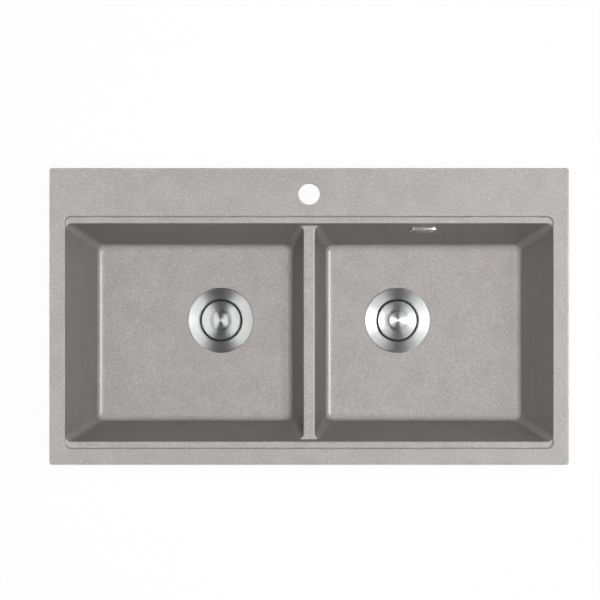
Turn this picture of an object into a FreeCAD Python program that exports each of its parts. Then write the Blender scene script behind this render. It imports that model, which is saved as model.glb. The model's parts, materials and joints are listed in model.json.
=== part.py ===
import FreeCAD, Part
import math
import os

# Double bowl kitchen sink for dropping into a worktop, in millimetres.
# X runs left to right, Y front to back, Z up. The origin is the middle of the rim's outline,
# on the worktop: the rim lies above z = 0 and everything else hangs below it.

# Rim and deck
rim_length = 840.0
rim_width = 480.0
rim_thickness = 10.0
rim_corner = 5.0
rim_edge_round = 2.5

# Recessed pocket round both bowls, with a ledge at the back and the front only
pocket_side_margin = 25.5
pocket_front_margin = 26.2
pocket_back_margin = 78.2
pocket_depth = 6.0
pocket_corner = 10.0
pocket_foot_round = 3.0
pocket_edge_round = 1.0
pocket_collar_wall = 10.0
pocket_collar_depth = 6.0

# Bowls
ledge_width = 11.0
ledge_edge_round = 1.5
bowl_depth = 200.0
bowl_wall = 9.0
bowl_draft = 6.8
bowl_corner_top = 9.0
bowl_corner_floor = 14.5
bowl_floor_round = 13.0
bowl_floor_thickness = 10.0
bowl_floor_fall = 1.0

# Low divider between the bowls
divider_drop = 25.0
divider_width = 18.2
divider_edge_round = 2.5
divider_root_depth = 60.0
divider_root_rise = 8.0

# Tap hole, and the blind knock-outs beside it on the underside
tap_hole_radius = 17.5
tap_hole_from_back = 42.0
tap_hole_edge_round = 1.0
knockout_offset = 95.0
knockout_skin = 4.0

# Groove and sealing strip under the rim
seat_width = 5.5
groove_width = 4.4
groove_depth = 2.0
groove_corner = 4.0
strip_clearance = 0.2

# Wastes
drain_offset = 156.0
drain_y = -4.5
drain_hole_radius = 45.0
flange_radius = 57.5
recess_clearance = 2.0
recess_depth = 2.5
flange_sheet = 1.0
flange_rise = 0.6
flange_dish = 1.5
flange_edge_round = 1.6
flange_foot_gap = 0.3
cup_mouth_radius = 37.6
cup_mouth_round = 3.5
cup_foot_radius = 36.8
cup_seat_lead = 1.8
cup_seat_run_out = 1.5
cup_throat_radius = 29.5
cup_well_radius = 28.6
cup_bottom_clearance = 2.5
cup_hole_radius = 4.0
cup_hole_ring = 16.5
cup_hole_count = 8
gasket_inner_radius = 46.0
gasket_edge_clearance = 2.2
body_gasket_thickness = 3.0
body_gasket_radius = 54.0

waste_flange_radius = 56.0
waste_flange_thickness = 4.0
waste_wall = 3.2
waste_chamber_radius = 41.5
waste_chamber_depth = 18.0
waste_funnel_radius = 36.5
waste_funnel_depth = 33.0
waste_throat_depth = 43.0
waste_bend = 4.0
outlet_thread_radius = 23.9
outlet_bore_radius = 20.0
outlet_length = 34.0
thread_length = 22.0
waste_rib_count = 8
waste_rib_thickness = 3.0
waste_rib_inset = 1.5
waste_rib_lip = 2.0
hub_radius = 8.5
hub_length = 24.0
hub_arm_count = 3
hub_arm_thickness = 3.5
hub_arm_drop = 6.0
hub_bore_clearance = 0.3

# Clamp screw and nut of a waste
clamp_screw_radius = 3.0
clamp_screw_length = 34.0
clamp_head_radius = 6.0
clamp_head_height = 3.5
clamp_head_chamfer = 1.4
clamp_nut_across = 10.0
clamp_nut_length = 9.0
thread_clearance = 0.06
seat_clearance = 0.05
screw_slot_width = 1.2
screw_slot_share = 0.5

# Lift-out baskets
basket_sheet = 0.8
cap_radius = 34.0
cap_top = 1.4
cap_skirt = 2.6
cap_edge_round = 1.5
cap_crown = 0.6
cap_ring_outer = 26.2
cap_ring_inner = 18.2
cap_ring_depth = 0.22
cap_ring_half_width = 1.7
cap_ring_round = 4.0
knob_radius = 15.2
knob_height = 11.8
knob_neck_radius = 8.6
knob_neck_height = 3.5
knob_neck_round = 2.0
knob_foot_flare = 0.6
knob_brim_height = 5.7
knob_brim_round = 1.0
knob_shoulder_height = 8.5
knob_shoulder_inset = 0.3
knob_shoulder_round = 2.2
knob_face_radius = 6.5
knob_face_round = 9.0
knob_crown = 0.6
basket_rim_radius = 34.4
basket_rim_drop = 9.0
basket_rim_lip = 2.0
basket_wall_top = 32.2
basket_wall_foot = 30.2
basket_foot_round = 2.0
basket_depth = 23.0
basket_slot_count = 24
basket_slot_width = 2.4
basket_slot_foot = 4.0
basket_slot_head = 3.0
stem_radius = 2.5
stem_shoulder_radius = 4.5
stem_in_knob = 6.7
stem_past_nut = 0.6
basket_seal_thickness = 3.2
basket_seal_gap = 0.3
basket_nut_across = 8.0
basket_nut_height = 3.4

# Overflow on the right bowl's back wall
overflow_x = 189.0
overflow_drop = 52.0
cover_length = 48.0
cover_height = 22.0
cover_edge_rise = 2.4
cover_belly_rise = 4.6
cover_sheet = 1.0
cover_edge_round = 1.2
cover_slot_offset = 16.5
cover_slot_length = 9.0
cover_slot_height = 5.0
overflow_hole_length = 38.0
overflow_hole_height = 13.0
inner_plate_thickness = 1.2
inner_plate_collar = 5.0
overflow_fit = 0.3
overflow_gasket_thickness = 2.5
overflow_gasket_inset = 1.0
elbow_flange_length = 52.0
elbow_flange_height = 27.0
elbow_flange_thickness = 3.0
elbow_wall = 2.5
elbow_depth = 30.0
elbow_pillar_radius = 4.0
overflow_screw_radius = 2.0
overflow_screw_head = 3.8
overflow_screw_chamfer = 0.8
overflow_screw_room = 2.0
hose_spigot_radius = 10.5
hose_spigot_bore = 8.3
hose_spigot_length = 26.0
hose_stop_radius = 12.5
hose_stop_length = 1.3
waste_inlet_drop = 20.0

# Worktop clips, in a front and a back row
clip_from_edge = 19.0
clip_from_end = 70.0
clip_from_middle = 150.0
boss_radius = 7.0
boss_length = 27.0
gusset_thickness = 5.0
gusset_reach = 22.0
gusset_drop = 26.0
insert_radius = 5.0
insert_length = 25.0
insert_collar_radius = 6.2
insert_collar_thickness = 1.5
insert_fit = 0.05
clip_screw_radius = 2.5
clip_screw_length = 40.0
clip_screw_head_radius = 4.8
clip_screw_head_height = 3.2
clip_screw_chamfer = 1.4
clip_screw_fit = 0.06
clip_bore_fit = 0.08
clip_level = 60.0
clip_sheet = 2.0
clip_width = 14.0
clip_reach = 26.0
clip_tail = 8.0
clip_jaw_height = 16.0
clip_tail_height = 8.0
clip_bend_radius = 3.0
clip_tooth_count = 4
clip_tooth_depth = 2.0

# Levels and limits that follow from the sizes above
deck_z = rim_thickness
ledge_z = deck_z - pocket_depth
divider_z = deck_z - divider_drop
floor_z = deck_z - bowl_depth
underside_z = floor_z - bowl_floor_thickness
rim_x = rim_length / 2
rim_y = rim_width / 2
pocket_x = rim_x - pocket_side_margin
pocket_front = pocket_front_margin - rim_y
pocket_back = rim_y - pocket_back_margin
draft_slope = math.tan(math.radians(bowl_draft))
wall_run = bowl_wall / math.cos(math.radians(bowl_draft))
recess_radius = flange_radius + recess_clearance
tap_hole_y = rim_y - tap_hole_from_back
widest_flare = divider_width / 2 + bowl_corner_floor
seal_depth = basket_depth + basket_sheet + basket_seal_thickness
cup_seat_top = basket_depth + basket_sheet - cup_seat_lead
cup_seat_bottom = seal_depth + cup_seat_run_out
cup_depth = seal_depth + basket_nut_height + stem_past_nut + cup_bottom_clearance + clamp_head_height
clip_row_y = rim_y - clip_from_edge
clip_end_x = rim_x - clip_from_end
clip_columns = (-clip_end_x, -clip_from_middle, clip_from_middle, clip_end_x)

# Reach of a shape past the faces that it cuts or joins, and the least step that counts as one
spare = 5.0
past = 1.0
hair = 0.001

up = FreeCAD.Vector(0, 0, 1)
origin = FreeCAD.Vector(0, 0, 0)


def at(x, y, z):
    return FreeCAD.Vector(x, y, z)


def rounded_wire(corners, closed=True):
    """Wire of straight runs through (point, radius) corners, with a tangent arc at each radius."""
    last = len(corners) - 1
    turns = []
    for i, (point, radius) in enumerate(corners):
        if radius == 0 or (not closed and i in (0, last)):
            turns.append((point, None, point))
            continue
        before = (corners[i - 1][0] - point).normalize()
        after = (corners[(i + 1) % len(corners)][0] - point).normalize()
        half = before.getAngle(after) / 2
        reach = radius / math.tan(half)
        inward = (before + after).normalize()
        crown = point + inward * (radius / math.sin(half) - radius)
        turns.append((point + before * reach, crown, point + after * reach))
    edges = []
    for i, (start, crown, end) in enumerate(turns):
        if crown is not None:
            edges.append(Part.Arc(start, crown, end).toShape())
        following = turns[(i + 1) % len(turns)][0]
        if (closed or i < last) and (following - end).Length > hair / 10:
            edges.append(Part.LineSegment(end, following).toShape())
    return Part.Wire(edges)


def rounded_rectangle(x0, x1, y0, y1, radius, z):
    corners = ((x0, y0), (x1, y0), (x1, y1), (x0, y1))
    return rounded_wire([(at(x, y, z), radius) for x, y in corners])


def slab(outline, z0, z1):
    """Upright prism from z0 to z1 over an outline given as x0, x1, y0, y1 and corner radius."""
    return Part.Face(rounded_rectangle(*outline, z0)).extrude(at(0, 0, z1 - z0))


def stadium(length, height, z0, z1):
    """Prism with two straight sides and two round ends, lying along X."""
    return slab((-length / 2, length / 2, -height / 2, height / 2, height / 2 - hair), z0, z1)


def turned(corners):
    """Solid turned about Z from a closed profile of (radius, height, corner radius) points."""
    profile = rounded_wire([(at(r, 0, z), corner) for r, z, corner in corners])
    return Part.Face(profile).revolve(origin, up, 360)


def pressed(path, thickness):
    """Sheet turned about Z. The path is its visible side, run inwards and down from the edge."""
    line = rounded_wire([(at(r, 0, z), corner) for r, z, corner in path], closed=False)
    return line.makeOffset2D(thickness, 0, True, True, False).revolve(origin, up, 360)


def post(radius, z0, z1, x=0.0, y=0.0):
    return Part.makeCylinder(radius, z1 - z0, at(x, y, z0))


def hexagon(across, z0, z1):
    """Upright hexagonal prism, measured across its flats."""
    reach = across / math.sqrt(3)
    angles = [math.radians(60 * i) for i in range(7)]
    outline = Part.makePolygon([at(reach * math.cos(a), reach * math.sin(a), z0) for a in angles])
    return Part.Face(outline).extrude(at(0, 0, z1 - z0))


def ring_of(shape, count, first=0.0):
    """Copies of a shape spaced evenly round Z."""
    copies = []
    for i in range(count):
        copy = shape.copy()
        copy.rotate(origin, up, first + 360.0 * i / count)
        copies.append(copy)
    return copies


def joined(shapes):
    return shapes[0].multiFuse(shapes[1:]) if len(shapes) > 1 else shapes[0]


def edges_where(shape, test):
    """Edges whose every sampled point passes the test."""
    found = []
    for edge in shape.Edges:
        first, last = edge.ParameterRange
        points = [edge.valueAt(first + (last - first) * t) for t in (0.0, 0.25, 0.5, 0.75, 1.0)]
        if all(test(p) for p in points):
            found.append(edge)
    return found


def level(z):
    return lambda p: abs(p.z - z) < 10 * hair


def moved(shape, x, y, z=0.0):
    copy = shape.copy()
    copy.translate(at(x, y, z))
    return copy


# ---------------------------------------------------------------- sink body

def wall_inset(z):
    """How far a drafted wall has come in from its place at the ledge."""
    return (ledge_z - z) * draft_slope


def corner_radius(z):
    share = (ledge_z - z) / (ledge_z - floor_z)
    return bowl_corner_top + (bowl_corner_floor - bowl_corner_top) * share


def bowl_section(z, grow=0.0):
    """Outline of the right bowl's inside at height z, or of its outside when grown by the wall."""
    inset = wall_inset(z) - grow
    divider_side = divider_width / 2 + (divider_z - z) * draft_slope - grow
    return rounded_rectangle(
        divider_side,
        pocket_x - inset,
        pocket_front + ledge_width + inset,
        pocket_back - ledge_width - inset,
        corner_radius(z) + grow,
        z,
    )


def upper_section(z):
    """Outline of the space that both bowls share above the divider."""
    inset = wall_inset(z)
    return rounded_rectangle(
        inset - pocket_x,
        pocket_x - inset,
        pocket_front + ledge_width + inset,
        pocket_back - ledge_width - inset,
        corner_radius(z),
        z,
    )


def mirrored(shape):
    return shape.mirror(origin, at(1, 0, 0))


def floor_level(radius):
    """Height of a bowl's floor at a distance from the waste, towards which it falls gently."""
    return floor_z + (radius - recess_radius) * math.tan(math.radians(bowl_floor_fall))


def floor_below():
    """Everything below a bowl's floor."""
    bottom = underside_z - bowl_floor_thickness
    profile = (
        (0, bottom, 0),
        (rim_length, bottom, 0),
        (rim_length, floor_level(rim_length), 0),
        (recess_radius, floor_z, 0),
        (0, floor_z, 0),
    )
    return moved(turned(profile), drain_offset, drain_y)


def bowl_cavity():
    """Inside of the right bowl below the divider's top, with its floor round."""
    block = Part.makeLoft([bowl_section(floor_z - spare), bowl_section(divider_z)], True, True)
    block = block.cut(floor_below())
    foot = edges_where(block, lambda p: p.z < floor_level(rim_length) and outside_recess(p))
    return block.makeFillet(bowl_floor_round, foot)


def outside_recess(p):
    return math.hypot(p.x - drain_offset, p.y - drain_y) > recess_radius + past


def upper_cavity():
    """Space over both bowls from the divider's top to the ledge, opened out round the ledge's edge."""
    space = Part.makeLoft([upper_section(divider_z), upper_section(ledge_z)], True, True)
    block = slab((-rim_x, rim_x, pocket_front - spare, pocket_back + spare, rim_corner), divider_z, ledge_z)
    shelf = block.cut(space)
    mouth = edges_where(shelf, lambda p: level(ledge_z)(p) and inside_pocket(p, -past))
    flared = block.cut(shelf.makeFillet(ledge_edge_round, mouth))
    between_sides = Part.makeBox(2 * pocket_x, rim_width, rim_width, at(-pocket_x, -rim_y, -rim_y))
    return flared.common(between_sides)


def inside_pocket(p, grow):
    """Whether a point lies in the pocket's plan, or in its front and back grown by a margin."""
    return abs(p.x) < pocket_x + past and pocket_front - grow < p.y < pocket_back + grow


def pocket_tool():
    """Recess in the rim, with a hollow round at the foot of its walls."""
    outline = (-pocket_x, pocket_x, pocket_front, pocket_back, pocket_corner)
    tool = slab(outline, ledge_z, deck_z + spare)
    return tool.makeFillet(pocket_foot_round, edges_where(tool, level(ledge_z)))


def rim_plate():
    outline = (-rim_x, rim_x, -rim_y, rim_y, rim_corner)
    plate = slab(outline, 0, deck_z)
    plate = plate.makeFillet(rim_edge_round, edges_where(plate, level(deck_z)))
    plate = plate.cut(pocket_tool())
    mouth = edges_where(plate, lambda p: level(deck_z)(p) and inside_pocket(p, past))
    return plate.makeFillet(pocket_edge_round, mouth)


def bowl_shell():
    """Outside of the right bowl, a wall's thickness larger than its inside."""
    shell = Part.makeLoft([bowl_section(underside_z, wall_run), bowl_section(0, wall_run)], True, True)
    return shell.makeFillet(bowl_floor_round + bowl_wall, edges_where(shell, level(underside_z)))


def divider_web():
    """Thick top of the divider. Below it the two bowls' walls part and leave an arched gap."""
    half = divider_width / 2 + spare
    foot = divider_z - divider_root_depth
    y0 = pocket_front + ledge_width
    y1 = pocket_back - ledge_width
    arch = Part.Arc(at(half, y0, foot), at(0, y0, foot + divider_root_rise), at(-half, y0, foot))
    sides = Part.makePolygon([at(-half, y0, foot), at(-half, y0, 0), at(half, y0, 0), at(half, y0, foot)])
    outline = Part.Wire(sides.Edges + [arch.toShape()])
    return Part.Face(outline).extrude(at(0, y1 - y0, 0))


def clip_places():
    """Axis of each clip's screw, front row first."""
    places = []
    for row, y in (("front", -clip_row_y), ("back", clip_row_y)):
        for number, x in enumerate(clip_columns, 1):
            places.append((row, number, x, y))
    return places


def clip_boss(row, x, y):
    """Screw boss under the rim: a gusset ties it to the bowl in front, to the deck at the back."""
    boss = post(boss_radius, -boss_length, spare, x, y)
    if row == "front":
        reach = pocket_front + ledge_width - y
        tie = Part.makeBox(gusset_thickness, reach, boss_length + spare,
                           at(x - gusset_thickness / 2, y, -boss_length))
        return [boss, tie]
    face = y - gusset_thickness / 2
    outline = Part.makePolygon([
        at(x - gusset_reach, face, past),
        at(x, face, -gusset_drop),
        at(x + gusset_reach, face, past),
        at(x - gusset_reach, face, past),
    ])
    return [boss, Part.Face(outline).extrude(at(0, gusset_thickness, 0))]


def groove_ring(clearance, height):
    """Closed ring under the rim with the groove's section, less a clearance at its walls."""
    outer = rim_x - seat_width - clearance
    outer_y = rim_y - seat_width - clearance
    width = groove_width - 2 * clearance
    corner = groove_corner + groove_width
    ring = slab((-outer, outer, -outer_y, outer_y, corner - clearance), 0, height)
    inside = slab((width - outer, outer - width, width - outer_y, outer_y - width,
                   corner - clearance - width), -spare, height + spare)
    return ring.cut(inside)


def overflow_frame(shape):
    """Places a shape made flat at the origin, Z into the bowl, on the right bowl's back wall."""
    z = deck_z - overflow_drop
    y = pocket_back - ledge_width - wall_inset(z)
    placed = shape.copy()
    placed.rotate(origin, at(1, 0, 0), 90 - bowl_draft)
    placed.translate(at(overflow_x, y, z))
    return placed


def drain_tool():
    """Waste hole and the recess that takes the waste's flange, at the right bowl."""
    hole = post(drain_hole_radius, underside_z - spare, floor_z + spare, drain_offset, drain_y)
    recess = post(recess_radius, floor_z - recess_depth, floor_z + spare, drain_offset, drain_y)
    return [hole, recess]


def sink_body():
    collar = slab((-pocket_x - pocket_collar_wall, pocket_x + pocket_collar_wall,
                   pocket_front - pocket_collar_wall, pocket_back + pocket_collar_wall,
                   pocket_corner + pocket_collar_wall), -pocket_collar_depth, past)
    shell = bowl_shell()
    added = [collar, shell, mirrored(shell), divider_web()]
    for row, _, x, y in clip_places():
        added += clip_boss(row, x, y)
    body = rim_plate().multiFuse(added)

    bowl = bowl_cavity()
    over_ledge = Part.Face(upper_section(ledge_z)).extrude(at(0, 0, pocket_foot_round + past / 2))
    body = body.cut(joined([upper_cavity(), bowl, mirrored(bowl)]))
    body = body.cut(over_ledge)

    tools = [post(tap_hole_radius, -spare, deck_z + spare, 0, tap_hole_y)]
    for side in (-1, 1):
        tools.append(post(tap_hole_radius, -spare, deck_z - knockout_skin, side * knockout_offset, tap_hole_y))
    for tool in drain_tool():
        tools += [tool, mirrored(tool)]
    for _, _, x, y in clip_places():
        tools.append(post(insert_radius + insert_fit, -boss_length - spare, insert_length - boss_length, x, y))
    tools.append(groove_ring(0, groove_depth))
    tools.append(overflow_frame(stadium(overflow_hole_length, overflow_hole_height, -bowl_wall - spare, spare)))
    for tool in tools:
        body = body.cut(tool)

    tap_edge = edges_where(body, lambda p: level(deck_z)(p)
                           and math.hypot(p.x, p.y - tap_hole_y) < tap_hole_radius + hair)
    body = body.makeFillet(tap_hole_edge_round, tap_edge)
    divider_edges = edges_where(body, lambda p: level(divider_z)(p) and abs(p.x) < widest_flare)
    divider_sides = [edge for edge in divider_edges if edge.BoundBox.YLength > rim_width / 2]
    body = body.makeFillet(divider_edge_round, divider_sides)
    return body.removeSplitter().Solids[0]


def rim_seal_strip():
    return groove_ring(strip_clearance, groove_depth)


# ---------------------------------------------------------------- wastes
# Each waste is drawn with its axis on Z and the bowl's floor at height 0.

waste_top = -bowl_floor_thickness - body_gasket_thickness
waste_throat = waste_top - waste_throat_depth
outlet_end = waste_throat - outlet_length
inlet_end = waste_flange_radius + hose_spigot_length
cup_underside = -cup_depth - flange_sheet


def flange_height(radius):
    """Top of the dished flange, which falls towards the cup's mouth."""
    share = (flange_radius - radius) / (flange_radius - cup_mouth_radius)
    return flange_rise - share * flange_dish


def seat_radius(height):
    """Radius of the cup's conical seat, on which the basket's seal closes the waste."""
    share = (-cup_seat_top - height) / (cup_seat_bottom - cup_seat_top)
    return cup_foot_radius - share * (cup_foot_radius - cup_throat_radius)


def strainer_flange():
    """Flange and cup, one pressing, with drain holes round the clamp screw."""
    path = (
        (flange_radius, flange_foot_gap - recess_depth, 0),
        (flange_radius, flange_rise, flange_edge_round),
        (cup_mouth_radius, flange_height(cup_mouth_radius), cup_mouth_round),
        (cup_foot_radius, -cup_seat_top, 0),
        (cup_throat_radius, -cup_seat_bottom, 0),
        (cup_well_radius, -cup_depth, 0),
        (clamp_screw_radius + thread_clearance, -cup_depth, 0),
    )
    hole = post(cup_hole_radius, cup_underside - past, past - cup_depth, cup_hole_ring, 0)
    return pressed(path, flange_sheet).cut(joined(ring_of(hole, cup_hole_count)))


def flange_gasket():
    outer = flange_radius - gasket_edge_clearance
    under = flange_sheet + seat_clearance
    return turned((
        (gasket_inner_radius, -recess_depth, 0),
        (outer, -recess_depth, 0),
        (outer, flange_height(outer) - under, 0),
        (gasket_inner_radius, flange_height(gasket_inner_radius) - under, 0),
    ))


def body_gasket():
    ring = post(body_gasket_radius, waste_top, -bowl_floor_thickness)
    return ring.cut(post(drain_hole_radius, waste_top - past, past - bowl_floor_thickness))


def waste_rib():
    """Gusset between the waste body's flange and its wall."""
    middle = waste_chamber_radius + waste_wall / 2
    reach = waste_flange_radius - waste_rib_inset
    foot = waste_top - waste_chamber_depth
    shelf = waste_top - waste_flange_thickness / 2
    face = -waste_rib_thickness / 2
    outline = Part.makePolygon([
        at(middle, face, foot),
        at(middle, face, shelf),
        at(reach, face, shelf),
        at(reach, face, waste_top - waste_flange_thickness - waste_rib_lip),
        at(middle + waste_wall, face, foot),
        at(middle, face, foot),
    ])
    return Part.Face(outline).extrude(at(0, waste_rib_thickness, 0))


def hub_arm():
    """Web from the hub of the waste body out into its funnel wall."""
    top = cup_underside - hub_arm_drop
    half = hub_arm_thickness / 2
    outline = Part.makePolygon([
        at(hub_radius / 2, -half, top),
        at(waste_funnel_radius + waste_wall / 2, -half, top),
        at(waste_funnel_radius + waste_wall / 2, -half, waste_top - waste_funnel_depth),
        at(outlet_bore_radius + waste_wall / 2, -half, waste_throat - waste_wall / 2),
        at(outlet_bore_radius + waste_wall / 2, -half, cup_underside - hub_length),
        at(hub_radius / 2, -half, cup_underside - hub_length),
        at(hub_radius / 2, -half, top),
    ])
    return Part.Face(outline).extrude(at(0, hub_arm_thickness, 0))


def waste_body(with_inlet):
    """Moulded body under the bowl, threaded outlet down, clamp nut's hub on webs in the middle."""
    path = (
        (waste_chamber_radius, waste_top, 0),
        (waste_chamber_radius, waste_top - waste_chamber_depth, waste_bend),
        (waste_funnel_radius, waste_top - waste_funnel_depth, waste_bend),
        (outlet_bore_radius, waste_throat, waste_bend),
        (outlet_bore_radius, outlet_end, 0),
    )
    middle = waste_chamber_radius + waste_wall / 2
    flange = post(waste_flange_radius, waste_top - waste_flange_thickness, waste_top)
    flange = flange.cut(post(middle, waste_top - waste_flange_thickness - past, waste_top + past))
    sleeve_top = outlet_end + thread_length
    sleeve = post(outlet_thread_radius, outlet_end, sleeve_top)
    sleeve = sleeve.cut(post(outlet_bore_radius + waste_wall / 2, outlet_end - past, sleeve_top + past))
    hub = post(hub_radius, cup_underside - hub_length, cup_underside - seat_clearance)
    added = [flange, sleeve, hub] + ring_of(waste_rib(), waste_rib_count, 180 / waste_rib_count)
    added += ring_of(hub_arm(), hub_arm_count, 30)
    if with_inlet:
        inside = turned(((0, waste_top, 0),) + path + ((0, outlet_end, 0),))
        stop = inlet_bar(hose_stop_radius, waste_chamber_radius + waste_wall + hose_stop_length)
        added.append(inlet_bar(hose_spigot_radius, inlet_end).fuse(stop).cut(inside))
    body = pressed(path, waste_wall).multiFuse(added)
    body = body.cut(post(clamp_screw_radius + hub_bore_clearance, cup_underside - hub_length - past, 0))
    body = body.cut(hexagon(clamp_nut_across + 2 * seat_clearance, nut_foot(), 0))
    if with_inlet:
        body = body.cut(inlet_bar(hose_spigot_bore, inlet_end + past))
    return body.removeSplitter().Solids[0]


def inlet_bar(radius, end):
    """Bar towards the back, for the overflow's inlet or for the collar that stops its hose."""
    start = at(0, waste_funnel_radius, waste_top - waste_inlet_drop)
    return Part.makeCylinder(radius, end - waste_funnel_radius, start, at(0, 1, 0))


def nut_foot():
    return cup_underside - 2 * seat_clearance - clamp_nut_length


def clamp_nut():
    nut = hexagon(clamp_nut_across, nut_foot(), nut_foot() + clamp_nut_length)
    return nut.cut(post(clamp_screw_radius + thread_clearance, nut_foot() - past, 0))


def screw_slot(head_radius, z0, z1):
    """Cutter for the screwdriver slot across a head, between two heights."""
    reach = head_radius + past
    return Part.makeBox(2 * reach, screw_slot_width, z1 - z0, at(-reach, -screw_slot_width / 2, z0))


def clamp_screw():
    top = clamp_head_height - cup_depth
    screw = turned((
        (0, -cup_depth - clamp_screw_length + flange_sheet, 0),
        (clamp_screw_radius, -cup_depth - clamp_screw_length + flange_sheet, 0),
        (clamp_screw_radius, -cup_depth, 0),
        (clamp_head_radius, -cup_depth, 0),
        (clamp_head_radius, top - clamp_head_chamfer, 0),
        (clamp_head_radius - clamp_head_chamfer, top, 0),
        (0, top, 0),
    ))
    return screw.cut(screw_slot(clamp_head_radius, top - clamp_head_height * screw_slot_share, top + past))


# Lift-out basket

basket_foot = -basket_depth - basket_sheet
seal_foot = basket_foot - basket_seal_thickness
basket_nut_foot = seal_foot - basket_nut_height
cap_middle = cap_crown - cap_top
stem_top = cap_middle + stem_in_knob


def cap_height(radius):
    return cap_middle - (cap_middle + cap_top) * radius / cap_radius


def basket_cap():
    """Cap disc with two pressed rings and a turned-down edge."""
    path = [(cap_radius, -cap_top - cap_skirt, 0), (cap_radius, -cap_top, cap_edge_round)]
    for ring in (cap_ring_outer, cap_ring_inner):
        path.append((ring + cap_ring_half_width, cap_height(ring + cap_ring_half_width), cap_ring_round))
        path.append((ring, cap_height(ring) - cap_ring_depth, cap_ring_round))
        path.append((ring - cap_ring_half_width, cap_height(ring - cap_ring_half_width), cap_ring_round))
    path.append((stem_radius + thread_clearance, cap_middle, 0))
    return pressed(path, basket_sheet)


def basket_knob():
    """Domed knob on a waisted neck, with a blind bore for the stem."""
    foot = cap_middle + seat_clearance
    bore = stem_radius + thread_clearance
    return turned((
        (bore, foot, 0),
        (knob_neck_radius + knob_foot_flare, foot, 0),
        (knob_neck_radius, knob_neck_height, knob_neck_round),
        (knob_radius, knob_brim_height, knob_brim_round),
        (knob_radius - knob_shoulder_inset, knob_shoulder_height, knob_shoulder_round),
        (knob_face_radius, knob_height - knob_crown, knob_face_round),
        (0, knob_height, 0),
        (0, stem_top + seat_clearance, 0),
        (bore, stem_top + seat_clearance, 0),
    ))


def basket_stem():
    """Turned stem whose shoulders hold the cup and the cap apart."""
    foot = basket_nut_foot - stem_past_nut
    shoulder_foot = -basket_depth + seat_clearance
    shoulder_top = cap_middle - basket_sheet - 2 * seat_clearance
    return turned((
        (0, foot, 0),
        (stem_radius, foot, 0),
        (stem_radius, shoulder_foot, 0),
        (stem_shoulder_radius, shoulder_foot, 0),
        (stem_shoulder_radius, shoulder_top, 0),
        (stem_radius, shoulder_top, 0),
        (stem_radius, stem_top, 0),
        (0, stem_top, 0),
    ))


def basket_cup():
    """Pressed cup with a rolled rim and a row of upright slots."""
    path = (
        (basket_rim_radius, -basket_rim_drop - basket_rim_lip, 0),
        (basket_rim_radius, -basket_rim_drop, 0),
        (basket_wall_top, -basket_rim_drop, 0),
        (basket_wall_foot, -basket_depth, basket_foot_round),
        (stem_radius + thread_clearance, -basket_depth, 0),
    )
    inner = basket_wall_foot - basket_sheet - past
    slot_height = basket_depth - basket_rim_drop - basket_slot_foot - basket_slot_head
    slot = Part.makeBox(basket_rim_radius + past - inner, basket_slot_width, slot_height,
                        at(inner, -basket_slot_width / 2, basket_slot_foot - basket_depth))
    return pressed(path, basket_sheet).cut(joined(ring_of(slot, basket_slot_count)))


def basket_seal():
    """Rubber ring, its edge parallel to the cup's seat and a little off it."""
    slope = (cup_seat_bottom - cup_seat_top) / (cup_foot_radius - cup_throat_radius)
    lift = basket_seal_gap * math.hypot(1, slope)
    bore = stem_radius + thread_clearance
    return turned((
        (bore, basket_foot, 0),
        (seat_radius(basket_foot - lift), basket_foot, 0),
        (seat_radius(seal_foot - lift), seal_foot, 0),
        (bore, seal_foot, 0),
    ))


def basket_nut():
    nut = hexagon(basket_nut_across, basket_nut_foot, seal_foot)
    return nut.cut(post(stem_radius + thread_clearance, basket_nut_foot - past, seal_foot + past))


# ---------------------------------------------------------------- overflow
# Each piece is drawn flat with the bowl wall's inner face at height 0 and the bowl above it.

gasket_back = -bowl_wall - overflow_gasket_thickness
elbow_back = gasket_back - elbow_depth


def crowned(length, height, edge_rise, middle_rise):
    """Plate with round ends that bulges along its length."""
    half = length / 2
    bulge = middle_rise - edge_rise
    radius = (half ** 2 + bulge ** 2) / (2 * bulge)
    roller = Part.makeCylinder(radius, 2 * height, at(0, -height, middle_rise - radius), at(0, 1, 0))
    return stadium(length, height, 0, middle_rise + past).common(roller)


def side_slots(z0, z1):
    slot = stadium(cover_slot_length, cover_slot_height, z0, z1)
    return [moved(slot, -cover_slot_offset, 0), moved(slot, cover_slot_offset, 0)]


def overflow_cover():
    """Pressed cover: domed middle, turned edge, a slot at each end."""
    outside = crowned(cover_length, cover_height, cover_edge_rise, cover_belly_rise)
    rim = edges_where(outside, lambda p: p.z > cover_edge_rise - 10 * hair)
    rounded = outside.makeFillet(cover_edge_round, rim)
    shrink = 2 * cover_sheet
    inside = crowned(cover_length - shrink, cover_height - shrink,
                     cover_edge_rise - cover_sheet, cover_belly_rise - cover_sheet)
    return rounded.cut(joined([inside] + side_slots(-past, cover_belly_rise + past))).Solids[0]


def overflow_inner_plate():
    """Plate on the bowl's wall under the cover, with a collar in the wall's hole."""
    inset = 2 * (cover_sheet + overflow_fit)
    plate = stadium(cover_length - inset, cover_height - inset, 0, inner_plate_thickness)
    collar_length = overflow_hole_length - 2 * overflow_fit
    collar_height = overflow_hole_height - 2 * overflow_fit
    collar = stadium(collar_length, collar_height, -inner_plate_collar, 0)
    bore = stadium(collar_length - 2 * inner_plate_thickness, collar_height - 2 * inner_plate_thickness,
                   -inner_plate_collar - past, 0)
    plate = plate.fuse(collar).cut(bore)
    holes = side_slots(-past, inner_plate_thickness + past)
    holes.append(post(overflow_screw_radius + thread_clearance, -past, inner_plate_thickness + past))
    return plate.cut(joined(holes)).Solids[0]


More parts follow.
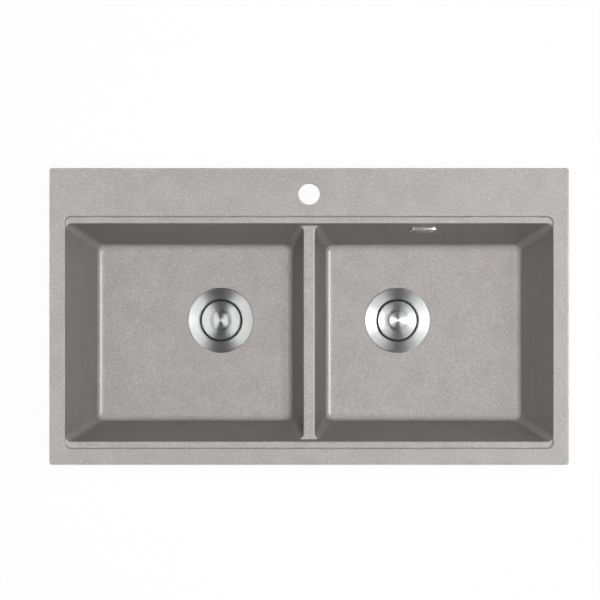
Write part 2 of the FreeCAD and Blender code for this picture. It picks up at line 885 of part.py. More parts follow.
def overflow_screw():
    foot = elbow_back + elbow_wall + overflow_screw_room
    seat = inner_plate_thickness
    head_top = cover_belly_rise - cover_sheet - overflow_fit
    screw = turned((
        (0, foot, 0),
        (overflow_screw_radius, foot, 0),
        (overflow_screw_radius, seat, 0),
        (overflow_screw_head, seat, 0),
        (overflow_screw_head, head_top - overflow_screw_chamfer, 0),
        (overflow_screw_head - overflow_screw_chamfer, head_top, 0),
        (0, head_top, 0),
    ))
    slot_foot = head_top - (head_top - seat) * screw_slot_share
    return screw.cut(screw_slot(overflow_screw_head, slot_foot, head_top + past))


def overflow_gasket():
    inset = 2 * overflow_gasket_inset
    ring = stadium(elbow_flange_length - inset, elbow_flange_height - inset, gasket_back, -bowl_wall)
    return ring.cut(stadium(overflow_hole_length, overflow_hole_height, gasket_back - past, past - bowl_wall))


def overflow_elbow():
    """Moulded box behind the wall with a post for the screw and a hose spigot down."""
    flange_back = gasket_back - elbow_flange_thickness
    flange = stadium(elbow_flange_length, elbow_flange_height, flange_back, gasket_back)
    around = 2 * elbow_wall
    box = stadium(overflow_hole_length + around, overflow_hole_height + around, elbow_back, gasket_back)
    chamber = stadium(overflow_hole_length, overflow_hole_height, elbow_back + elbow_wall, gasket_back + past)
    spigot_z = elbow_back + hose_spigot_radius + past
    end = overflow_hole_height / 2 + elbow_wall + hose_spigot_length
    pipe = Part.makeCylinder(hose_spigot_radius, end, at(0, 0, spigot_z), at(0, -1, 0))
    bore = Part.makeCylinder(hose_spigot_bore, end + past, at(0, 0, spigot_z), at(0, -1, 0))
    pillar = post(elbow_pillar_radius, elbow_back + past, gasket_back)
    body = joined([flange, box, pipe]).cut(joined([chamber, bore])).fuse(pillar)
    return body.cut(post(overflow_screw_radius + thread_clearance, elbow_back + elbow_wall, past)).Solids[0]


# ---------------------------------------------------------------- worktop clips
# Each clip is drawn with its screw on Z and the worktop's top at height 0, arm along X.

def clip_inserts():
    """Plugs pressed into the bosses, one solid each."""
    plug = post(insert_radius, -boss_length, insert_length - boss_length)
    collar = post(insert_collar_radius, -boss_length - insert_collar_thickness, -boss_length)
    bore = post(clip_screw_radius + clip_screw_fit, -boss_length - insert_collar_thickness - past, past)
    insert = plug.fuse(collar).cut(bore).removeSplitter()
    return Part.makeCompound([moved(insert, x, y) for _, _, x, y in clip_places()])


def clip_screw():
    seat = -clip_level - seat_clearance
    foot = seat - clip_screw_head_height
    screw = turned((
        (0, foot, 0),
        (clip_screw_head_radius - clip_screw_chamfer, foot, 0),
        (clip_screw_head_radius, foot + clip_screw_chamfer, 0),
        (clip_screw_head_radius, seat, 0),
        (clip_screw_radius, seat, 0),
        (clip_screw_radius, seat + clip_screw_length, 0),
        (0, seat + clip_screw_length, 0),
    ))
    slot_top = foot + clip_screw_head_height * screw_slot_share
    return screw.cut(screw_slot(clip_screw_head_radius, foot - past, slot_top))


def worktop_clip():
    """Bent steel strap: toothed jaw at the end of its arm, short heel behind the screw."""
    top = clip_sheet - clip_level
    jaw = clip_reach - clip_sheet
    heel = clip_sheet - clip_tail
    line = rounded_wire([
        (at(jaw, 0, top + clip_jaw_height - clip_sheet), 0),
        (at(jaw, 0, top), clip_bend_radius),
        (at(heel, 0, top), clip_bend_radius),
        (at(heel, 0, top + clip_tail_height - clip_sheet), 0),
    ], closed=False)
    band = line.makeOffset2D(clip_sheet, 0, True, True, False)
    band.translate(at(0, -clip_width / 2, 0))
    strap = band.extrude(at(0, clip_width, 0))
    bore = post(clip_screw_radius + clip_bore_fit, -clip_level - past, top + past)
    return strap.cut(joined([bore] + tooth_gaps(top + clip_jaw_height - clip_sheet)))


def tooth_gaps(z):
    """Cutters for the notches between the teeth of a jaw whose top is at z."""
    pitch = clip_width / clip_tooth_count
    start = clip_reach - 2 * clip_sheet
    gaps = []
    for i in range(clip_tooth_count):
        side = i * pitch - clip_width / 2
        notch = Part.makePolygon([
            at(start, side, z + hair),
            at(start, side + pitch / 2, z - clip_tooth_depth),
            at(start, side + pitch, z + hair),
            at(start, side, z + hair),
        ])
        gaps.append(Part.Face(notch).extrude(at(3 * clip_sheet, 0, 0)))
    return gaps


# ---------------------------------------------------------------- parts

def export(shape, name):
    shape.exportStep(f"parts/{name}.step")


def export_waste(side, x, with_inlet):
    pieces = {
        "strainer_flange": strainer_flange(),
        "flange_gasket": flange_gasket(),
        "body_gasket": body_gasket(),
        "waste_body": waste_body(with_inlet),
        "clamp_nut": clamp_nut(),
        "clamp_screw": clamp_screw(),
        "basket_cap": basket_cap(),
        "basket_knob": basket_knob(),
        "basket_stem": basket_stem(),
        "basket_cup": basket_cup(),
        "basket_seal": basket_seal(),
        "basket_nut": basket_nut(),
    }
    for name, piece in pieces.items():
        export(moved(piece, x, drain_y, floor_z), f"{side}_{name}")


def main():
    os.makedirs("parts", exist_ok=True)
    export(sink_body(), "sink_body")
    export(rim_seal_strip(), "rim_seal_strip")
    export_waste("left", -drain_offset, with_inlet=False)
    export_waste("right", drain_offset, with_inlet=True)
    export(overflow_frame(overflow_cover()), "overflow_cover")
    export(overflow_frame(overflow_inner_plate()), "overflow_inner_plate")
    export(overflow_frame(overflow_screw()), "overflow_screw")
    export(overflow_frame(overflow_gasket()), "overflow_gasket")
    export(overflow_frame(overflow_elbow()), "overflow_elbow")
    export(clip_inserts(), "clip_inserts")
    for row, number, x, y in clip_places():
        export(moved(clip_screw(), x, y), f"clip_screw_{row}_{number}")
        export(moved(worktop_clip(), x, y), f"worktop_clip_{row}_{number}")


main()
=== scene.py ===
import json
import math

import bmesh
import bpy
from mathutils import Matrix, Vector


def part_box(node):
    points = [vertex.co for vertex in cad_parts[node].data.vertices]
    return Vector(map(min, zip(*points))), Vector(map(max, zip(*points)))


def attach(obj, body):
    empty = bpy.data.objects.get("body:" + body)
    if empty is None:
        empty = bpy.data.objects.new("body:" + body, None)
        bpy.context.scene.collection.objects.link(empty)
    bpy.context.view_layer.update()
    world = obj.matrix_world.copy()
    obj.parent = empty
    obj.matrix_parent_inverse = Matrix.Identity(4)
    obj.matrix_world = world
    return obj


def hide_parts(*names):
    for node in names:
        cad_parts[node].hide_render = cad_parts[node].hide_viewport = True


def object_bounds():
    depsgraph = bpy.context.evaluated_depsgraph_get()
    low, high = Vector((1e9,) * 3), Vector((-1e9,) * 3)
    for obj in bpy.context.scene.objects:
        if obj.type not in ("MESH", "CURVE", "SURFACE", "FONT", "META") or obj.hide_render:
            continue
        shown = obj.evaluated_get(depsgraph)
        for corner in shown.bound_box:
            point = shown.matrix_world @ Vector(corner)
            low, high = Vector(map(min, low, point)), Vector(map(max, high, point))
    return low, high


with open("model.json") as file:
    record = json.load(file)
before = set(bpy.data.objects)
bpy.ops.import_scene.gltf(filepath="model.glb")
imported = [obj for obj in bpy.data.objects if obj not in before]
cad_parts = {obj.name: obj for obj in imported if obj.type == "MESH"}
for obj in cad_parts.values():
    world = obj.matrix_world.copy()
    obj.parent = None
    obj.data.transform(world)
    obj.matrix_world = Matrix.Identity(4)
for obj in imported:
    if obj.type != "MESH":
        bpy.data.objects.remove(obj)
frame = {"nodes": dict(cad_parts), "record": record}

cad_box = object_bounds()
nodes = frame["nodes"]


# ---------------------------------------------------------------- the sink
# One casting of quartz grains in resin, grey-beige, with pale specks in it. The mould leaves a satin
# skin with a very fine orange-peel, the same on the deck, the ledges and inside both bowls.

class Signal:
    """An output among a material's nodes. Sums written with it become Math nodes."""

    def __init__(self, tree, socket):
        self.tree = tree
        self.socket = socket

    def node(self, kind, settings=None, inputs=None, output=0):
        """Adds a node, gives it its settings, then its inputs as numbers or as other signals."""
        made = self.tree.nodes.new(kind)
        for name, value in (settings or {}).items():
            setattr(made, name, value)
        for key, value in (inputs or {}).items():
            if isinstance(value, Signal):
                self.tree.links.new(value.socket, made.inputs[key])
            else:
                made.inputs[key].default_value = value
        return Signal(self.tree, made.outputs[output])

    def sum(self, operation, *terms):
        return self.node("ShaderNodeMath", {"operation": operation}, dict(enumerate(terms)))

    def __add__(self, other):
        return self.sum("ADD", self, other)

    def __radd__(self, other):
        return self.sum("ADD", other, self)

    def __sub__(self, other):
        return self.sum("SUBTRACT", self, other)

    def __rsub__(self, other):
        return self.sum("SUBTRACT", other, self)

    def __mul__(self, other):
        return self.sum("MULTIPLY", self, other)

    def __rmul__(self, other):
        return self.sum("MULTIPLY", other, self)


def shade(red, green, blue):
    """A colour picked on a screen, 0 to 255, as the linear colour that a shader takes."""
    def linear(value):
        share = value / 255
        return share / 12.92 if share <= 0.04045 else ((share + 0.055) / 1.055) ** 2.4
    return (linear(red), linear(green), linear(blue), 1.0)


def finish(name, constants=None):
    """A new material, its shader node, and the place on the piece that its patterns follow."""
    material = bpy.data.materials.new(name + "_finish")
    material.use_nodes = True
    tree = material.node_tree
    shader = tree.nodes["Principled BSDF"]
    for socket, value in (constants or {}).items():
        shader.inputs[socket].default_value = value
    place = Signal(tree, tree.nodes.new("ShaderNodeTexCoord").outputs["Object"])
    return material, shader, place


def feed(shader, socket, signal):
    signal.tree.links.new(signal.socket, shader.inputs[socket])


def noise(place, per_metre, detail=2.0, roughness=0.5):
    return place.node("ShaderNodeTexNoise", {}, {"Vector": place, "Scale": per_metre, "Detail": detail,
                                                "Roughness": roughness})


def ramp(value, low=0.3, high=0.7, to_low=0.0, to_high=1.0):
    """Carries a value from one range to another, clamped at both ends. A noise is mostly 0.3 to 0.7."""
    ranges = {"From Min": low, "From Max": high, "To Min": to_low, "To Max": to_high}
    return value.node("ShaderNodeMapRange", {"interpolation_type": "SMOOTHSTEP"}, {"Value": value, **ranges})


def blended(share, first, second):
    """First colour where share is 0, second where it is 1."""
    return share.node("ShaderNodeMix", {"data_type": "RGBA"}, {"Factor": share, 6: first, 7: second}, 2)


def bumped(shader, height, distance):
    """Raises the surface by a height in metres per unit of the signal."""
    bump = height.node("ShaderNodeBump", {}, {"Height": height, "Distance": distance})
    feed(shader, "Normal", bump)


def roughened(shader, signal, least, most):
    """Lets the roughness drift between two values, as the signal does."""
    feed(shader, "Roughness", ramp(signal, to_low=least, to_high=most))


def specks(place, per_metre, size, share):
    """Mask of round grains: one per cell of a grid, of which only a share shows."""
    soft_edge = 0.01
    cell = {"feature": "F1"}
    inputs = {"Vector": place, "Scale": per_metre}
    distance = place.node("ShaderNodeTexVoronoi", cell, inputs, "Distance")
    chance = place.node("ShaderNodeTexVoronoi", cell, inputs, "Color")
    drawn = place.node("ShaderNodeSeparateColor", {}, {"Color": chance}, 0)
    return ramp(distance, size, size * 0.5) * ramp(drawn, 1 - share, 1 - share + soft_edge)


def quartz_composite():
    material, shader, place = finish("quartz_composite", {"IOR": 1.45, "Specular IOR Level": 0.3})
    body = shade(166, 162, 160)
    cloud = shade(160, 156, 154)
    grain_dark = shade(128, 124, 122)
    grain_pale = shade(202, 199, 197)
    fleck = shade(232, 229, 227)
    mottle_share = 0.32
    grain_share = 0.42
    fleck_share = 0.6
    colour = blended(ramp(noise(place, per_metre=28, detail=3), low=0.35, high=0.65), body, cloud)
    mottle = noise(place, per_metre=300)
    colour = blended(ramp(mottle, 0.5, 0.25) * mottle_share, colour, grain_dark)
    colour = blended(ramp(mottle, 0.5, 0.75) * mottle_share, colour, grain_pale)
    grain = noise(place, per_metre=1100, detail=3, roughness=0.7)
    colour = blended(ramp(grain, 0.6, 0.3) * grain_share, colour, grain_dark)
    colour = blended(ramp(grain, 0.5, 0.75) * grain_share, colour, grain_pale)
    colour = blended(specks(place, per_metre=380, size=0.3, share=0.2) * fleck_share, colour, fleck)
    feed(shader, "Base Color", colour)
    roughened(shader, noise(place, per_metre=420), least=0.31, most=0.39)
    bumped(shader, noise(place, per_metre=900), distance=0.00004)
    return material


def dress(node, material):
    """Gives a CAD node its material."""
    for holder in nodes[node].material_slots:
        holder.material = material


dress("sink_body", quartz_composite())


# ---------------------------------------------------------------- sealing strip
# A strip of closed-cell foam, pressed into the groove under the rim. The clips squeeze it against the
# worktop, so that no water gets under the sink.

def strip_foam():
    material, shader, place = finish("strip_foam", {"Roughness": 0.85})
    pores = specks(place, per_metre=1500, size=0.4, share=0.6)
    feed(shader, "Base Color", blended(pores, shade(62, 62, 65), shade(38, 38, 40)))
    bumped(shader, pores, distance=-0.00015)
    return material


dress("rim_seal_strip", strip_foam())


# ---------------------------------------------------------------- strainer flanges
# Flange and cup are one pressing of stainless sheet, brushed while it is spun, so that its lines run
# in circles and its light in fans. Eight holes round the clamp screw let the water out of the cup.

merge_distance = 0.0000002
flange_rise = 0.0006


def brushed_stainless(name, centre):
    """Steel brushed in circles about an upright axis. A quarter turn lays the sheen across the lines."""
    brushing = {"Anisotropic": 0.98, "Anisotropic Rotation": 0.25}
    material, shader, place = finish(name, {"Metallic": 1.0, **brushing})
    off_axis = place.node("ShaderNodeVectorMath", {"operation": "SUBTRACT"}, {0: place, 1: centre})
    flat = place.node("ShaderNodeVectorMath", {"operation": "MULTIPLY"}, {0: off_axis, 1: (1.0, 1.0, 0.0)})
    radius = place.node("ShaderNodeVectorMath", {"operation": "LENGTH"}, {0: flat}, "Value")
    across = place.node("ShaderNodeCombineXYZ", {}, {"X": radius})
    lines = noise(across, per_metre=2600, detail=3, roughness=0.7)
    bands = noise(across, per_metre=420)
    line_share = 0.6
    tone = ramp(lines) * line_share + ramp(bands) * (1 - line_share)
    feed(shader, "Base Color", blended(tone, shade(198, 199, 199), shade(208, 209, 209)))
    feed(shader, "Roughness", tone * 0.07 + 0.41)
    return material


def turned(profile, centre, steps=160, closed=True):
    """Turns a profile of (radius, height, corner radius) points about an upright axis."""
    shape = bmesh.new()
    spots = [Vector((radius, 0, height)) for radius, height, _ in profile]
    points = [shape.verts.new(spot) for spot in spots]
    following = points[1:] + points[:1] if closed else points[1:]
    for point, other in zip(points, following):
        shape.edges.new((point, other))
    for i, (_, _, corner) in enumerate(profile):
        if corner:
            before = spots[i - 1] - spots[i]
            after = spots[(i + 1) % len(spots)] - spots[i]
            reach = corner / math.tan(before.angle(after) / 2)
            bmesh.ops.bevel(shape, geom=[points[i]], affect="VERTICES", offset=reach, offset_type="OFFSET",
                            segments=6, profile=0.5, material=-1, clamp_overlap=False)
    bmesh.ops.spin(shape, geom=shape.verts[:] + shape.edges[:], cent=(0, 0, 0), axis=(0, 0, 1),
                   dvec=(0, 0, 0), angle=2 * math.pi, steps=steps, use_merge=True)
    bmesh.ops.remove_doubles(shape, verts=shape.verts, dist=merge_distance)
    bmesh.ops.recalc_face_normals(shape, faces=shape.faces)
    bmesh.ops.translate(shape, verts=shape.verts, vec=centre)
    return shape


def thickened(shape, sheet):
    """Gives an open turned skin its sheet's thickness, on the side away from its face."""
    bmesh.ops.solidify(shape, geom=shape.faces[:], thickness=sheet)
    bmesh.ops.recalc_face_normals(shape, faces=shape.faces)
    return shape


def meshed(shape, name):
    """Ends the modelling of a shape: smooth but for its corners past an angle."""
    crease = math.radians(35)
    for face in shape.faces:
        face.smooth = True
    for edge in shape.edges:
        edge.smooth = len(edge.link_faces) != 2 or edge.calc_face_angle() < crease
    mesh = bpy.data.meshes.new(name)
    shape.to_mesh(mesh)
    shape.free()
    return mesh


def piece(name, shape, material, body, stands_for=None):
    """Makes a piece of a finished shape and hands it to the body that it moves with."""
    made = bpy.data.objects.new(name, meshed(shape, name))
    made.data.materials.append(material)
    bpy.context.scene.collection.objects.link(made)
    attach(made, body)
    if stands_for:
        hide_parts(stands_for)


def drilled(shape, tool):
    """Cuts one closed shape out of another."""
    blank = bpy.data.objects.new("blank", meshed(shape, "blank"))
    cutter = bpy.data.objects.new("cutter", meshed(tool, "cutter"))
    for temporary in (blank, cutter):
        bpy.context.scene.collection.objects.link(temporary)
    cut = blank.modifiers.new("cut", "BOOLEAN")
    cut.operation = "DIFFERENCE"
    cut.solver = "EXACT"
    cut.object = cutter
    bpy.context.view_layer.update()
    result = bpy.data.meshes.new_from_object(blank.evaluated_get(bpy.context.evaluated_depsgraph_get()))
    for temporary in (blank, cutter):
        bpy.data.objects.remove(temporary)
    after = bmesh.new()
    after.from_mesh(result)
    bmesh.ops.remove_doubles(after, verts=after.verts, dist=merge_distance)
    return after


def bars(places, radius, low, high):
    """Upright round bars at several places, in one shape."""
    sides = 32
    shape = bmesh.new()
    for place in places:
        made = bmesh.ops.create_cone(shape, cap_ends=True, cap_tris=False, segments=sides,
                                     radius1=radius, radius2=radius, depth=high - low)
        bmesh.ops.translate(shape, verts=made["verts"], vec=(place.x, place.y, (low + high) / 2))
    return shape


def waste_axis(side):
    """Where a waste's axis meets the level of its bowl's floor."""
    low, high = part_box(side + "_strainer_flange")
    return Vector(((low.x + high.x) / 2, (low.y + high.y) / 2, high.z - flange_rise))


def strainer_flange(side, axis):
    sheet = 0.001
    edge_round = 0.0016
    dip = 0.0009
    mouth_round = 0.0035
    foot = -0.0022
    mouth = 0.0376
    seat_top = (0.0368, -0.022)
    throat = (0.0295, -0.0285)
    well = 0.0286
    screw_hole = 0.00306
    hole_radius = 0.004
    hole_ring = 0.0165
    hole_count = 8
    low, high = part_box(side + "_strainer_flange")
    edge = (high.x - low.x) / 2
    bottom = low.z + sheet - axis.z
    skin = turned((
        (edge, foot, 0),
        (edge, flange_rise, edge_round),
        (mouth, -dip, mouth_round),
        (*seat_top, 0),
        (*throat, 0),
        (well, bottom, 0),
        (screw_hole, bottom, 0),
    ), axis, closed=False)
    turns = [2 * math.pi * i / hole_count for i in range(hole_count)]
    holes = [axis + Vector((hole_ring * math.cos(turn), hole_ring * math.sin(turn), 0)) for turn in turns]
    return drilled(thickened(skin, sheet), bars(holes, hole_radius, low.z - sheet, low.z + 3 * sheet))


axes = {side: waste_axis(side) for side in ("left", "right")}
spun_steel = {side: brushed_stainless(side + "_brushed_stainless", axes[side]) for side in axes}
for side, axis in axes.items():
    piece(side + "_strainer", strainer_flange(side, axis), spun_steel[side], "sink",
          side + "_strainer_flange")


# ---------------------------------------------------------------- wastes
# Under each bowl the flange's cup is drawn down by one screw onto a moulded plastic body, with a
# rubber gasket above and below the bowl's floor. The trap's nut screws onto the body's thread.

def screw_steel():
    material, shader, place = finish("screw_steel", {"Metallic": 1.0})
    drift = noise(place, per_metre=300)
    feed(shader, "Base Color", blended(drift, shade(198, 199, 200), shade(168, 169, 171)))
    roughened(shader, noise(place, per_metre=900), least=0.25, most=0.45)
    return material


def seal_rubber():
    material, shader, place = finish("seal_rubber")
    drift = noise(place, per_metre=120, detail=3)
    feed(shader, "Base Color", blended(drift, shade(36, 36, 38), shade(50, 50, 53)))
    roughened(shader, noise(place, per_metre=500), least=0.6, most=0.8)
    bumped(shader, noise(place, per_metre=1400), distance=0.00005)
    return material


def waste_plastic():
    material, shader, place = finish("waste_plastic")
    drift = noise(place, per_metre=25, detail=3)
    feed(shader, "Base Color", blended(drift, shade(228, 227, 222), shade(216, 215, 209)))
    roughened(shader, noise(place, per_metre=200), least=0.4, most=0.55)
    bumped(shader, noise(place, per_metre=1100), distance=0.00004)
    return material


def nut_brass():
    material, shader, place = finish("nut_brass", {"Metallic": 1.0})
    drift = noise(place, per_metre=260, detail=3)
    feed(shader, "Base Color", blended(drift, shade(206, 172, 104), shade(176, 140, 78)))
    roughened(shader, noise(place, per_metre=700), least=0.28, most=0.45)
    return material


def thread_ridge(centre, low, high, core, crest, pitch, steps=48):
    """The raised turn of a screw thread about an upright axis, its foot sunk a little in the core."""
    foot_share = 0.992
    root = core * foot_share
    turns = (high - low) / pitch - 1
    shape = bmesh.new()
    corners = ((root, 0.1), (crest, 0.38), (crest, 0.52), (root, 0.8))
    points = [shape.verts.new((radius, 0, low + share * pitch)) for radius, share in corners]
    for i, point in enumerate(points):
        shape.edges.new((points[i - 1], point))
    bmesh.ops.spin(shape, geom=shape.verts[:] + shape.edges[:], cent=(0, 0, 0), axis=(0, 0, 1),
                   dvec=(0, 0, pitch / steps), angle=2 * math.pi * turns, steps=round(steps * turns),
                   use_merge=False)
    bmesh.ops.holes_fill(shape, edges=[edge for edge in shape.edges if edge.is_boundary], sides=4)
    bmesh.ops.recalc_face_normals(shape, faces=shape.faces)
    bmesh.ops.translate(shape, verts=shape.verts, vec=(centre.x, centre.y, 0))
    return shape


screw = screw_steel()
rubber = seal_rubber()
plastic = waste_plastic()
brass = nut_brass()
waste_finishes = {
    "flange_gasket": (rubber, "seal_rubber"),
    "body_gasket": (rubber, "seal_rubber"),
    "waste_body": (plastic, "waste_plastic"),
    "clamp_nut": (brass, "nut_brass"),
    "clamp_screw": (screw, "screw_steel"),
}
outlet_radius = 0.0239
outlet_crest = 0.0244
outlet_pitch = 0.002309
outlet_thread = 0.022
for side, axis in axes.items():
    for part, (material, slot) in waste_finishes.items():
        dress(f"{side}_{part}", material)
    outlet_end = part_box(side + "_waste_body")[0].z
    ridge = thread_ridge(axis, outlet_end, outlet_end + outlet_thread, outlet_radius, outlet_crest,
                         outlet_pitch)
    piece(side + "_outlet_thread", ridge, plastic, "sink")


# ---------------------------------------------------------------- lift-out baskets
# A pressed cap with two faint rings and a domed knob, on a stem, and under it the slotted cup that
# catches scraps. The rubber ring below closes the waste when the basket is pushed down.

stem_bore = 0.00256


def basket_cap(side, axis):
    sheet = 0.0008
    skirt = 0.0026
    edge_round = 0.0015
    crown = 0.0006
    ring_reach = 0.0017
    ring_depth = 0.00022
    ring_round = 0.004
    ring_radii = (0.0262, 0.0182)
    low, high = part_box(side + "_basket_cap")
    edge = (high.x - low.x) / 2
    brim = low.z + skirt - axis.z

    def height(radius):
        return brim + crown * (1 - radius / edge)

    profile = [(edge, low.z - axis.z, 0), (edge, brim, edge_round)]
    for ring in ring_radii:
        profile.append((ring + ring_reach, height(ring + ring_reach), ring_round))
        profile.append((ring, height(ring) - ring_depth, ring_round))
        profile.append((ring - ring_reach, height(ring - ring_reach), ring_round))
    profile.append((stem_bore, height(0), 0))
    return thickened(turned(profile, axis, closed=False), sheet)


def basket_knob(side, axis):
    bore_top = 0.00595
    neck = 0.0086
    neck_flare = 0.0006
    neck_height = 0.0035
    neck_round = 0.002
    brim_height = 0.0057
    brim_round = 0.001
    shoulder_height = 0.0085
    shoulder_inset = 0.0003
    shoulder_round = 0.0022
    face = 0.0065
    face_round = 0.009
    crown = 0.0006
    low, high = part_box(side + "_basket_knob")
    edge = (high.x - low.x) / 2
    foot = low.z - axis.z
    top = high.z - axis.z
    return turned((
        (stem_bore, foot, 0),
        (neck + neck_flare, foot, 0),
        (neck, neck_height, neck_round),
        (edge, brim_height, brim_round),
        (edge - shoulder_inset, shoulder_height, shoulder_round),
        (face, top - crown, face_round),
        (0, top, 0),
        (0, bore_top, 0),
        (stem_bore, bore_top, 0),
    ), axis)


basket_finishes = {
    "basket_stem": (screw, "screw_steel"),
    "basket_seal": (rubber, "seal_rubber"),
    "basket_nut": (screw, "screw_steel"),
}
for side, axis in axes.items():
    body = side + "_basket"
    steel = spun_steel[side]
    piece(side + "_cap", basket_cap(side, axis), steel, body, side + "_basket_cap")
    piece(side + "_knob", basket_knob(side, axis), steel, body, side + "_basket_knob")
    dress(side + "_basket_cup", steel)
    for part, (material, slot) in basket_finishes.items():
        dress(f"{side}_{part}", material)


# ---------------------------------------------------------------- overflow
# A pressed steel cover hides the plate and the screw that clamp a plastic elbow behind the wall. A
# hose with barbed grip joins the elbow's spigot to the one on the right waste.

def pressed_steel():
    """Steel brushed along the cover's length."""
    material, shader, place = finish("pressed_steel", {"Metallic": 1.0, "Anisotropic": 0.4})
    stretch = (0.06, 1.0, 1.0)
    grain = place.node("ShaderNodeVectorMath", {"operation": "MULTIPLY"}, {0: place, 1: stretch})
    lines = ramp(noise(grain, per_metre=3600, detail=3, roughness=0.7))
    feed(shader, "Base Color", blended(lines, shade(196, 197, 197), shade(210, 211, 211)))
    feed(shader, "Roughness", lines * 0.08 + 0.28)
    return material


def barbs(mount):
    """Three rings round a spigot, each a slope that a hose slides over and a step that holds it."""
    root = 0.0103
    crest = 0.0111
    crest_round = 0.0002
    slope = 0.0034
    spacing = 0.0055
    lead = 0.0015
    count = 3
    radius = mount["dims"]["r_mm"] / 1000
    end = mount["dims"]["length_mm"] / 2000
    grip = bmesh.new()
    for i in range(count):
        step = end - slope - lead - i * spacing
        ring = turned((
            (root, step, 0),
            (crest, step, crest_round),
            (radius, step + slope, 0),
            (root, step + slope, 0),
        ), Vector((0, 0, 0)), steps=64)
        made = bpy.data.meshes.new("ring")
        ring.to_mesh(made)
        ring.free()
        grip.from_mesh(made)
        bpy.data.meshes.remove(made)
    outward = Vector((0, 0, 1)).rotation_difference(Vector(mount["axis"])).to_matrix()
    bmesh.ops.rotate(grip, verts=grip.verts, cent=(0, 0, 0), matrix=outward)
    bmesh.ops.translate(grip, verts=grip.verts, vec=mount["pos_m"])
    return grip


overflow_finishes = {
    "overflow_cover": (pressed_steel(), "brushed_stainless"),
    "overflow_inner_plate": (plastic, "waste_plastic"),
    "overflow_screw": (screw, "screw_steel"),
    "overflow_gasket": (rubber, "seal_rubber"),
    "overflow_elbow": (plastic, "waste_plastic"),
}
for part, (material, slot) in overflow_finishes.items():
    dress(part, material)
for mount in frame["record"]["mounts"]:
    if mount["name"] in ("right_overflow_inlet", "overflow_hose_spigot"):
        piece(mount["name"] + "_barbs", barbs(mount), plastic, "sink")


# ---------------------------------------------------------------- worktop clips
# Zinc-plated straps on long screws, eight in all, that draw the rim down onto the worktop. Each
# screw runs in a plastic plug pressed into a boss of the sink.

screw_root = 0.0021
screw_head = 0.0032


def clip_steel():
    material, shader, place = finish("clip_steel", {"Metallic": 1.0})
    bloom = ramp(noise(place, per_metre=140, detail=4, roughness=0.6), low=0.35, high=0.65)
    feed(shader, "Base Color", blended(bloom, shade(196, 200, 205), shade(172, 176, 180)))
    feed(shader, "Roughness", bloom * 0.2 + 0.3)
    bumped(shader, noise(place, per_metre=800), distance=0.00003)
    return material


def clip_screw_blank(node):
    """Turned screw with a chamfered head and a slot across it, its shank at the thread's root."""
    chamfer = 0.0014
    slot_width = 0.0012
    slot_depth = 0.0016
    low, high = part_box(node)
    head = (high.x - low.x) / 2
    axis = Vector(((low.x + high.x) / 2, (low.y + high.y) / 2, low.z))
    length = high.z - low.z
    blank = turned((
        (0, 0, 0),
        (head - chamfer, 0, 0),
        (head, chamfer, 0),
        (head, screw_head, 0),
        (screw_root, screw_head, 0),
        (screw_root, length - chamfer, 0),
        (screw_root - chamfer / 2, length, 0),
        (0, length, 0),
    ), axis, steps=48)
    slot = bmesh.new()
    bmesh.ops.create_cube(slot, size=1)
    bmesh.ops.scale(slot, verts=slot.verts, vec=(3 * head, slot_width, 2 * slot_depth))
    bmesh.ops.translate(slot, verts=slot.verts, vec=axis)
    return drilled(blank, slot)


def clip_screw_thread(node):
    crest = 0.0025
    pitch = 0.0008
    low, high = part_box(node)
    axis = (low + high) / 2
    return thread_ridge(axis, low.z + screw_head, high.z, screw_root, crest, pitch, steps=20)


zinc = clip_steel()
dress("clip_inserts", plastic)
for row in ("front", "back"):
    for number in range(1, 5):
        name = f"{row}_{number}"
        node = "clip_screw_" + name
        piece(f"screw_blank_{name}", clip_screw_blank(node), screw, "screw_" + name, node)
        piece(f"screw_thread_{name}", clip_screw_thread(node), screw, "screw_" + name)
        dress("worktop_clip_" + name, zinc)


# ---------------------------------------------------------------- studio
# A pale floor with a round backdrop, soft lamps above and beside the sink, low ones all round it for
# its outer sides, and a camera that looks straight down.

def lamp(name, lean, reach, along, across, watts, lights=True, shines=True, echoes=True, turn=0):
    """A flat lamp that faces the sink, leant over from overhead to the right, or to the turned side.

    It lights surfaces, shines in reflections, or both. Without echoes its light stops where it lands.
    """
    light = bpy.data.lights.new(name, "AREA")
    light.shape = "RECTANGLE"
    light.size = along
    light.size_y = across
    light.energy = watts
    holder = bpy.data.objects.new(name, light)
    bpy.context.scene.collection.objects.link(holder)
    angle = math.radians(lean)
    heading = math.radians(turn)
    out = reach * math.sin(angle)
    holder.location = (out * math.cos(heading), out * math.sin(heading), reach * math.cos(angle))
    holder.rotation_euler = (0, angle, heading)
    holder.visible_camera = False
    holder.visible_diffuse = lights
    holder.visible_glossy = shines
    if not echoes:
        light.cycles.max_bounces = 0


def floor_material():
    material, shader, place = finish("studio_floor", {"Roughness": 0.9})
    pale = (0.9, 0.9, 0.9, 1)
    less_pale = (0.88, 0.88, 0.88, 1)
    glow_share = 0.95
    feed(shader, "Base Color", blended(noise(place, per_metre=3), pale, less_pale))
    tree = material.node_tree
    path = tree.nodes.new("ShaderNodeLightPath")
    glow = tree.nodes.new("ShaderNodeEmission")
    seen = Signal(tree, path.outputs["Is Camera Ray"])
    seen = seen.sum("MAXIMUM", seen, Signal(tree, path.outputs["Is Glossy Ray"]))
    seen = seen.sum("MAXIMUM", seen, Signal(tree, path.outputs["Is Transmission Ray"]))
    both = seen.node("ShaderNodeMixShader", {}, {0: seen * glow_share, 1: Signal(tree, shader.outputs[0]),
                                                 2: Signal(tree, glow.outputs[0])})
    tree.links.new(both.socket, tree.nodes["Material Output"].inputs["Surface"])
    return material


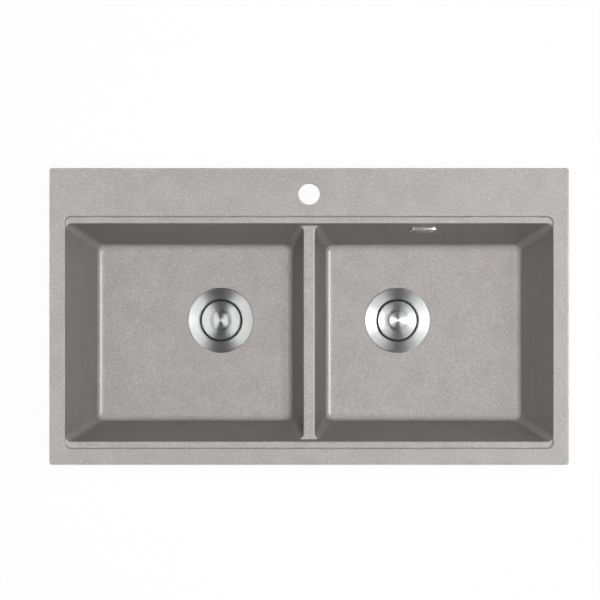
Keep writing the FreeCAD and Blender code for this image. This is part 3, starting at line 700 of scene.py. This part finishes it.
floor_reach = 30.0
backdrop_height = 14.0
ground = bmesh.new()
bmesh.ops.create_circle(ground, cap_ends=True, segments=96, radius=floor_reach)
bmesh.ops.translate(ground, verts=ground.verts, vec=(0, 0, cad_box[0].z))
backdrop = bmesh.ops.extrude_edge_only(ground, edges=ground.edges[:])
raised = [corner for corner in backdrop["geom"] if isinstance(corner, bmesh.types.BMVert)]
bmesh.ops.translate(ground, verts=raised, vec=(0, 0, backdrop_height))
floor_mesh = bpy.data.meshes.new("studio_floor")
ground.to_mesh(floor_mesh)
ground.free()
floor = bpy.data.objects.new("studio_floor", floor_mesh)
bpy.context.scene.collection.objects.link(floor)
floor_mesh.materials.append(floor_material())

near = 2.4
far = 4.5
lamp("overhead", 4.5, near, along=0.8, across=0.5, watts=28, shines=False)
lamp("overhead_key", 4.5, near, along=0.8, across=0.5, watts=40, shines=False, echoes=False)
lamp("right_glint", 56, near, along=0.8, across=1.0, watts=150, lights=False, echoes=False)
lamp("right_sheen", 28, near, along=0.8, across=3.2, watts=38, lights=False)
lamp("left_sheen", -32, near, along=0.8, across=3.2, watts=44, lights=False)
for side, turn in (("right", 0), ("back", 90), ("left", 180), ("front", 270)):
    lamp("skirt_" + side, 91.8, far, along=0.2, across=2.8, watts=80, turn=turn)

world = bpy.data.worlds.new("studio")
bpy.context.scene.world = world
world.use_nodes = True
sky = 0.08
world.node_tree.nodes["Background"].inputs["Color"].default_value = (sky, sky, sky, 1)

camera_height = 2.116
camera_y = -0.026
focal_pixels = 1310
frame_pixels = 600
sensor = 36
axis_pixel_x = 309.15
axis_pixel_y = 332.5
view = bpy.data.cameras.new("camera")
view.sensor_width = sensor
view.lens = sensor * focal_pixels / frame_pixels
view.shift_x = (frame_pixels / 2 - axis_pixel_x) / frame_pixels
view.shift_y = (axis_pixel_y - frame_pixels / 2) / frame_pixels
view.clip_end = 100
camera = bpy.data.objects.new("camera", view)
bpy.context.scene.collection.objects.link(camera)
camera.location = (0, camera_y, cad_box[1].z + camera_height)
bpy.context.scene.camera = camera
bpy.context.scene.view_settings.view_transform = "Standard"
